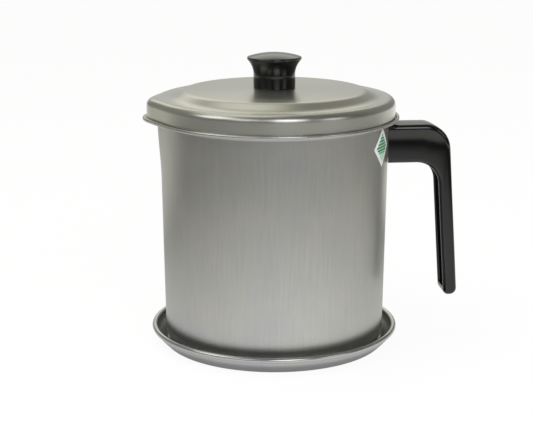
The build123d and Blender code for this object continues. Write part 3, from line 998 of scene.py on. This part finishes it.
room = {  # spans are parts of a direction of length 1 from the pot
    "dimFront": 0.12,
    "dimBack": 0.3,
    "dimSpan": (-0.3, 0.5),  # from the front to the back
    "sheetLow": 0.58,  # the white sheet's light low down
    "sheetHigh": 1.35,  # and higher up
    "sheetRise": (0.22, 0.4),
    "sheetDepth": (0.68, 0.84),  # how far back it starts
    "sheetWidth": (0.2, 0.45),  # and where it ends to either side
    "colour": "fffdef",  # warm overhead and behind
    "lowWarmth": 0.3,  # share of that colour low in the room
    "warmRise": (0.2, 0.45),
    "warmSpan": (-0.7, 0.0),  # from the front to the back
    "panels": {
        # name: degrees round from the front to the handle's side, degrees up, half width, soft edge, strength
        "front": (8, 35, 11, 18, 3.2),
        "frontLeft": (-36, 36, 6, 17, 1.5),
        "left": (-76, 43, 11, 20, 2.2),
        "above": (-150, 66, 8, 25, 1.0),
        "frontRight": (52, 22, 5, 16, 1.5),
    },
}


def makeRoom():
    r = room
    world = bpy.data.worlds.new("studio")
    bpy.context.scene.world = world
    world.use_nodes = True
    tree = world.node_tree
    tree.nodes.clear()
    rays = addNode(tree, "ShaderNodeLightPath")
    place = addNode(tree, "ShaderNodeTexCoord")
    parts = addNode(tree, "ShaderNodeSeparateXYZ", None, {"Vector": (place, "Generated")})
    # a white sheet hangs behind the pot, brighter higher up, and the rest of the room is dim
    bright = addNode(tree, "ShaderNodeMapRange",
                     {**softly, "From": r["sheetRise"], "To": (r["sheetLow"], r["sheetHigh"])},
                     {"Value": (parts, "Z")})
    back = addNode(tree, "ShaderNodeMapRange", {**softly, "From": r["sheetDepth"]}, {"Value": (parts, "Y")})
    aside = addNode(tree, "ShaderNodeMath", {"operation": "ABSOLUTE"}, {0: (parts, "X")})
    across = addNode(tree, "ShaderNodeMapRange", {**softly, "From": r["sheetWidth"], "To": (1.0, 0.0)},
                     {"Value": (aside, "Value")})
    sheet = addNode(tree, "ShaderNodeMath", {"operation": "MULTIPLY"},
                    {0: (back, "Result"), 1: (across, "Result")})
    dim = addNode(tree, "ShaderNodeMapRange",
                  {**softly, "From": r["dimSpan"], "To": (r["dimFront"], r["dimBack"])},
                  {"Value": (parts, "Y")})
    light = addNode(tree, "ShaderNodeMix", {"data_type": "FLOAT"},
                    {0: (sheet, "Value"), 2: (dim, "Result"), 3: (bright, "Result")})
    for name, (turn, rise, width, edge, strength) in r["panels"].items():
        level = cos(radians(rise))
        aim = (sin(radians(turn)) * level, -cos(radians(turn)) * level, sin(radians(rise)))
        toward = addNode(tree, "ShaderNodeVectorMath", {"operation": "DOT_PRODUCT", 1: aim},
                         {0: (place, "Generated")})
        panel = addNode(tree, "ShaderNodeMapRange",
                        {**softly, "From": (cos(radians(edge)), cos(radians(width))), "To": (0.0, strength)},
                        {"Value": (toward, "Value")})
        panel.label = name
        light = addNode(tree, "ShaderNodeMath", {"operation": "ADD"}, {0: (light, 0), 1: (panel, "Result")})
    # the camera sees plain white behind the paper
    seen = addNode(tree, "ShaderNodeMix", {"data_type": "FLOAT", 3: 1.0},
                   {0: (rays, "Is Camera Ray"), 2: (light, 0)})
    upper = addNode(tree, "ShaderNodeMapRange",
                    {**softly, "From": r["warmRise"], "To": (r["lowWarmth"], 1.0)}, {"Value": (parts, "Z")})
    behind = addNode(tree, "ShaderNodeMapRange", {**softly, "From": r["warmSpan"]},
                     {"Value": (parts, "Y"), "To Max": (upper, "Result")})
    tinted = addNode(tree, "ShaderNodeMix", {"data_type": "FLOAT", 3: 0.0},
                     {0: (rays, "Is Camera Ray"), 2: (behind, "Result")})
    warmth = addNode(tree, "ShaderNodeMix", {"data_type": "RGBA", 6: white, 7: hexColour(r["colour"])},
                     {0: (tinted, 0)})
    background = addNode(tree, "ShaderNodeBackground", None, {"Color": (warmth, 2), "Strength": (seen, 0)})
    addNode(tree, "ShaderNodeOutputWorld", None, {"Surface": (background, "Background")})


lamps = {  # they light what is matt, and the metal doesn't mirror them
    # name: place, aimed at, size, power in watts
    "overhead": ((-0.2, -0.1, 1.1), (0, 0, 0.05), 0.9, 6.0),
    "frontal": ((0.35, -1.1, 0.6), (0, 0, 0.05), 0.7, 5.0),
}


def makeLamps():
    for name, (place, target, size, power) in lamps.items():
        deselectAll()
        aim = (Vector(target) - Vector(place)).to_track_quat("-Z", "Y").to_euler()
        bpy.ops.object.light_add(type="AREA", location=place, rotation=aim)
        lamp = bpy.context.object
        lamp.name = name
        lamp.data.size = size
        lamp.data.energy = power
        lamp.visible_glossy = False


makeFloor()
makeRoom()
makeLamps()
bpy.context.scene.view_settings.view_transform = "Standard"
print("stage made")
